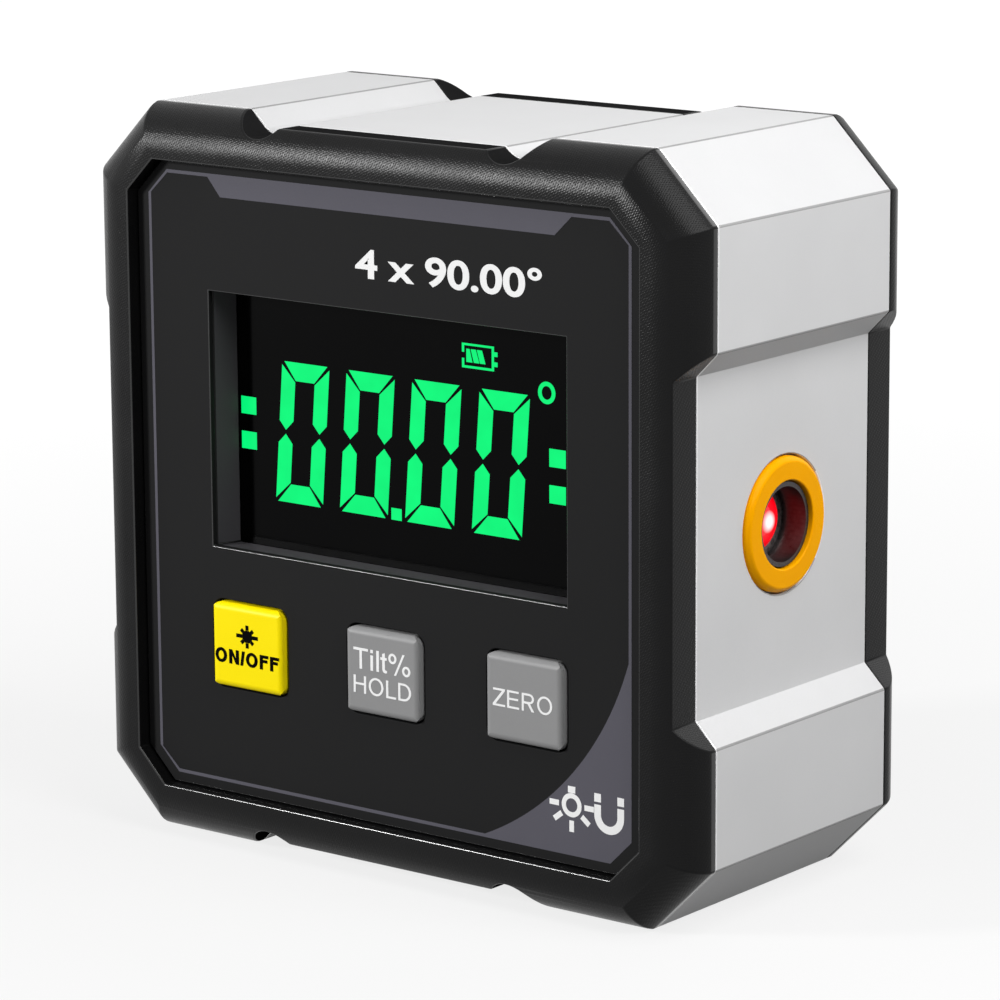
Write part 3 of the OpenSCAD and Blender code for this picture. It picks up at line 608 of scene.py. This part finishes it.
def letter(sign, w):
    """Width and outlines of a plain letter of height 1 with strokes w wide.

    Level strokes are h wide, stems stand between a and s, c is the right side of a broad letter, mid the
    height of a cross-stroke and low the height of a small letter.
    """
    h, a, c, mid, low = 0.88 * w, 0.1, 0.9, 0.47, 0.73
    s, slant, leg = a + w, 1.4 * w, 1.25 * w
    return {
        "O": (1.08, [ring(0.54, 0.5, 0.47, 0.515), ring(0.54, 0.5, 0.47 - w, 0.515 - h)]),
        "N": (1.0, [[(a, 0), (s, 0), (s, 1 - 1.55 * w), (c - w, 0), (c, 0), (c, 1), (c - w, 1),
                     (c - w, 1.55 * w), (s, 1), (a, 1)]]),
        "F": (0.83, [[(a, 0), (s, 0), (s, mid), (0.72, mid), (0.72, mid + h), (s, mid + h), (s, 1 - h),
                      (0.8, 1 - h), (0.8, 1), (a, 1)]]),
        "E": (0.93, [[(a, 0), (0.86, 0), (0.86, h), (s, h), (s, mid), (0.8, mid), (0.8, mid + h),
                      (s, mid + h), (s, 1 - h), (0.84, 1 - h), (0.84, 1), (a, 1)]]),
        "H": (1.0, [[(a, 0), (s, 0), (s, mid), (c - w, mid), (c - w, 0), (c, 0), (c, 1), (c - w, 1),
                     (c - w, mid + h), (s, mid + h), (s, 1), (a, 1)]]),
        "L": (0.77, [[(a, 0), (0.73, 0), (0.73, h), (s, h), (s, 1), (a, 1)]]),
        "T": (0.85, [[(0.03, 1 - h), (0.425 - w / 2, 1 - h), (0.425 - w / 2, 0), (0.425 + w / 2, 0),
                      (0.425 + w / 2, 1 - h), (0.82, 1 - h), (0.82, 1), (0.03, 1)]]),
        "Z": (0.85, [[(0.03, 0), (0.82, 0), (0.82, h), (0.03 + slant, h), (0.81, 1 - h), (0.81, 1), (0.06, 1),
                      (0.06, 1 - h), (0.81 - slant, 1 - h), (0.03, h)]]),
        "D": (1.0, [[(a, 0)] + arc(0.45, 0.5, 0.46, 0.5, -90, 90, 24) + [(a, 1)],
                    [(s, h)] + arc(0.45, 0.5, 0.46 - w, 0.5 - h, -90, 90, 24) + [(s, 1 - h)]]),
        "R": (1.0, [[(a, 0), (s, 0), (s, 0.42), (0.46, 0.42), (0.72, 0), (0.72 + leg, 0), (0.46 + leg, 0.44)]
                    + arc(0.57, 0.715, 0.3, 0.285, -60, 90, 18) + [(a, 1)],
                    [(s, 0.43 + h)] + arc(0.57, 0.715, 0.3 - w, 0.285 - h, -90, 90, 18) + [(s, 1 - h)]]),
        "/": (0.4, [[(0.0, 0), (0.9 * w, 0), (0.38, 1), (0.38 - 0.9 * w, 1)]]),
        "i": (0.32, [rect(a, 0, s, low), rect(a, 1 - 1.1 * w, s, 1)]),
        "l": (0.32, [rect(a, 0, s, 1)]),
        "t": (0.4, [[(0.0, low - h), (a, low - h), (a, 0.15), (0.15, 0.03), (0.25, -0.01), (0.35, 0.005),
                     (0.35, h), (0.05 + s, h), (s, 0.16), (s, low - h), (0.34, low - h), (0.34, low),
                     (s, low), (s, 0.96), (a, 0.9), (a, low), (0.0, low)]]),
        "%": (1.24, [ring(x, z, r, 0.25 - k) for x, z in ((0.25, 0.75), (0.99, 0.25))
                     for r, k in ((0.22, 0.0), (0.22 - 0.8 * w, 0.8 * w))]
              + [[(0.33, -0.03), (0.33 + 0.8 * w, -0.03), (0.91, 1.03), (0.91 - 0.8 * w, 1.03)]]),
    }[sign]


def legend(name, text, key, box, material, weight):
    loops, start = [], 0.0
    for sign in text:
        width, outlines = letter(sign, weight)
        loops += [[(start + x, z) for x, z in loop] for loop in outlines]
        start += width
    x, z = key_middle(key + "_button")
    place = (x + box[0], z + box[1], x + box[2], z + box[3])
    flat(name, loops, KEY_Y, key + "_key", material, box=place)


KEY_X, KEY_Z = key_middle("power_button")
BURST_X, BURST_Z, CORE = KEY_X + 0.05, KEY_Z + 1.0, 0.54
core = arc(BURST_X, BURST_Z, CORE, CORE, 22.5, 337.5, 7)
flat("key_burst_core", [core], KEY_Y, "power_key", INK_BLACK)
REACH = {0: 1.14, 90: 0.94, 180: 1.14, 270: 0.94, 42: 0.84, 138: 0.84, 222: 0.84, 318: 0.84}
burst_rays = [bar(BURST_X, BURST_Z, angle, CORE - 0.02, reach, 0.31) for angle, reach in REACH.items()]
RAY_LIFT = 0.004  # keeps the rays' faces off those of the core
flat("key_burst_rays", burst_rays, KEY_Y - RAY_LIFT, "power_key", INK_BLACK)
legend("key_on_off", "ON/OFF", "power", (-3.36, -1.47, 3.36, -0.24), INK_BLACK, 0.25)
legend("key_tilt", "Tilt%", "hold", (-2.85, 0.13, 2.9, 1.92), INK_WHITE, 0.14)
legend("key_hold", "HOLD", "hold", (-2.87, -1.82, 2.95, -0.36), INK_WHITE, 0.135)
legend("key_zero", "ZERO", "zero", (-2.95, -0.72, 2.8, 0.73), INK_WHITE, 0.13)


# Floor, light and camera

def see_white(tree, strength, dim):
    """White to the camera, reflections and glass, and dim light to the rest."""
    path = add(tree, "LightPath")
    seen = join(tree, "MAXIMUM", path.outputs["Is Camera Ray"], path.outputs["Is Glossy Ray"])
    seen = join(tree, "MAXIMUM", seen, path.outputs["Is Transmission Ray"])
    return remap(tree, seen, 0.0, 1.0, dim, strength)


world = bpy.data.worlds.new("studio")
bpy.context.scene.world = world
world.use_nodes = True
background = world.node_tree.nodes["Background"]
background.inputs["Color"].default_value = (1.0, 1.0, 1.0, 1.0)
world.node_tree.links.new(see_white(world.node_tree, 1.0, 0.15), background.inputs["Strength"])

FLOOR_GAP = 0.2 * MM
FLOOR_SIZE = 6.0
bpy.ops.mesh.primitive_plane_add(size=FLOOR_SIZE, location=(0.0, 0.0, -FLOOR_GAP))
floor = bpy.context.object
floor.name = "floor"
floor_finish, floor_tree, floor_shader = new_material("floor_pale")
pale = drifting(floor_tree, noise(floor_tree, 6.0), (0.12, 0.12, 0.12), (0.13, 0.13, 0.13))
floor_tree.links.new(pale, floor_shader.inputs["Base Color"])
floor_shader.inputs["Roughness"].default_value = 0.9
floor_shader.inputs["Specular IOR Level"].default_value = 0.0
floor_shader.inputs["Emission Color"].default_value = (1.0, 1.0, 1.0, 1.0)
away = add(floor_tree, "VectorMath", operation="LENGTH")
floor_tree.links.new(object_space(floor_tree), away.inputs[0])
SHADE_FROM, SHADE_TO = 40 * MM, 300 * MM  # the floor pales to white between these distances
glow = remap(floor_tree, away.outputs["Value"], SHADE_FROM, SHADE_TO, 0.8, 1.0)
floor_tree.links.new(join(floor_tree, "MULTIPLY", glow, see_white(floor_tree, 1.0, 0.0)),
                     floor_shader.inputs["Emission Strength"])
floor.data.materials.append(floor_finish)


def softbox(name, place, aim, width, height, radiance):
    lamp = bpy.data.lights.new(name, "AREA")
    lamp.shape = "RECTANGLE"
    lamp.size, lamp.size_y = width, height
    lamp.energy = radiance * math.pi * width * height
    holder = bpy.data.objects.new(name, lamp)
    bpy.context.scene.collection.objects.link(holder)
    holder.location = place
    holder.rotation_euler = (Vector(aim) - Vector(place)).to_track_quat("-Z", "Y").to_euler()


MIDDLE = (0.0, 0.0, MIDDLE_Z * MM)
softbox("right_light", (0.195, -0.025, 0.22), MIDDLE, 0.2, 0.2, 6.2)
softbox("edge_light", (-0.33, -0.41, 0.19), MIDDLE, 0.08, 0.1, 120.0)
softbox("back_light", (0.12, 0.42, 0.3), MIDDLE, 0.3, 0.3, 1.6)

# The camera was fitted to corners of the object in the photograph
azimuth, elevation, roll = math.radians(38.003), math.radians(12.128), math.radians(-0.342)
DISTANCE, TARGET = 0.36985, Vector((0.000538, 0.0, 0.02838))
level = math.cos(elevation)
back = Vector((math.sin(azimuth) * level, -math.cos(azimuth) * level, math.sin(elevation)))
right = Vector((math.cos(azimuth), math.sin(azimuth), 0.0))
up = back.cross(right)
turned_right = math.cos(roll) * right + math.sin(roll) * up
turned_up = math.cos(roll) * up - math.sin(roll) * right
camera = bpy.data.objects.new("camera", bpy.data.cameras.new("camera"))
bpy.context.scene.collection.objects.link(camera)
camera.data.sensor_width = 36.0
camera.data.lens = 165.93
camera.data.clip_start, camera.data.clip_end = 0.01, 20.0
turn = Matrix((turned_right, turned_up, back)).transposed().to_4x4()
camera.matrix_world = Matrix.Translation(TARGET + back * DISTANCE) @ turn
bpy.context.scene.camera = camera
bpy.context.scene.view_settings.view_transform = "Standard"
